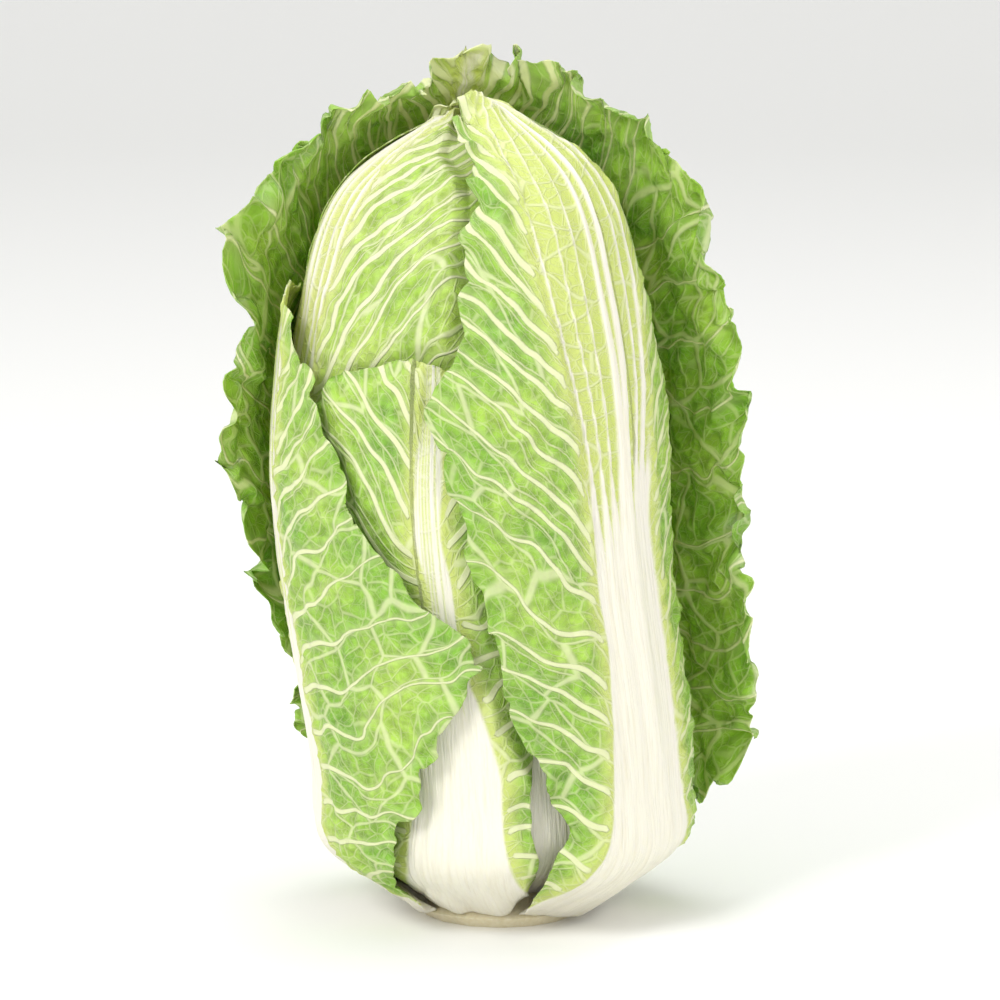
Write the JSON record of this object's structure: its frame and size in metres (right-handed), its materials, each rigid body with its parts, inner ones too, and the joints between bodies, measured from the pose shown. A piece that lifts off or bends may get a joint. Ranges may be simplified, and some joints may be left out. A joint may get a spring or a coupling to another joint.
{
  "type": "napa cabbage",
  "caption": "Whole head of napa cabbage: tall oval heap of broad leaves with thick pale petioles round a short core, standing on its trimmed stem.",
  "frame": {"origin": "centre of the cut face under the stem", "axes": "+Z from the cut face up to the crown, -Y is the front, +X is the viewer's right when facing the front"},
  "size_m": [0.1699, 0.1442, 0.2922],
  "materials": {
    "stem": "ivory, fibrous stem flesh, dry at the cut",
    "heart_bud": "tender yellow young leaves",
    "heart_leaf": "yellow leaf with a white petiole, satin",
    "head_leaf": "pale green leaf with a white petiole, satin",
    "wrapper_leaf": "fresh green leaf with a thick white petiole, satin"
  },
  "bodies": {
    "root": {"stem_core": "stem", "heart_bud": "heart_bud", "heart_leaf_01": "heart_leaf", "heart_leaf_02": "heart_leaf", "heart_leaf_03": "heart_leaf", "heart_leaf_04": "heart_leaf", "heart_leaf_05": "heart_leaf", "heart_leaf_06": "heart_leaf", "heart_leaf_07": "heart_leaf", "heart_leaf_08": "heart_leaf", "head_leaf_01": "head_leaf", "head_leaf_02": "head_leaf", "head_leaf_03": "head_leaf", "head_leaf_04": "head_leaf", "head_leaf_05": "head_leaf", "head_leaf_06": "head_leaf", "head_leaf_07": "head_leaf", "head_leaf_08": "head_leaf", "head_leaf_09": "head_leaf", "head_leaf_10": "head_leaf", "head_leaf_11": "head_leaf", "head_leaf_12": "head_leaf", "head_leaf_13": "head_leaf", "head_leaf_14": "head_leaf", "head_leaf_15": "head_leaf", "wrapper_leaf_01": "wrapper_leaf", "wrapper_leaf_02": "wrapper_leaf", "wrapper_leaf_03": "wrapper_leaf", "wrapper_leaf_04": "wrapper_leaf", "wrapper_leaf_05": "wrapper_leaf"}
  },
  "joints": []
}
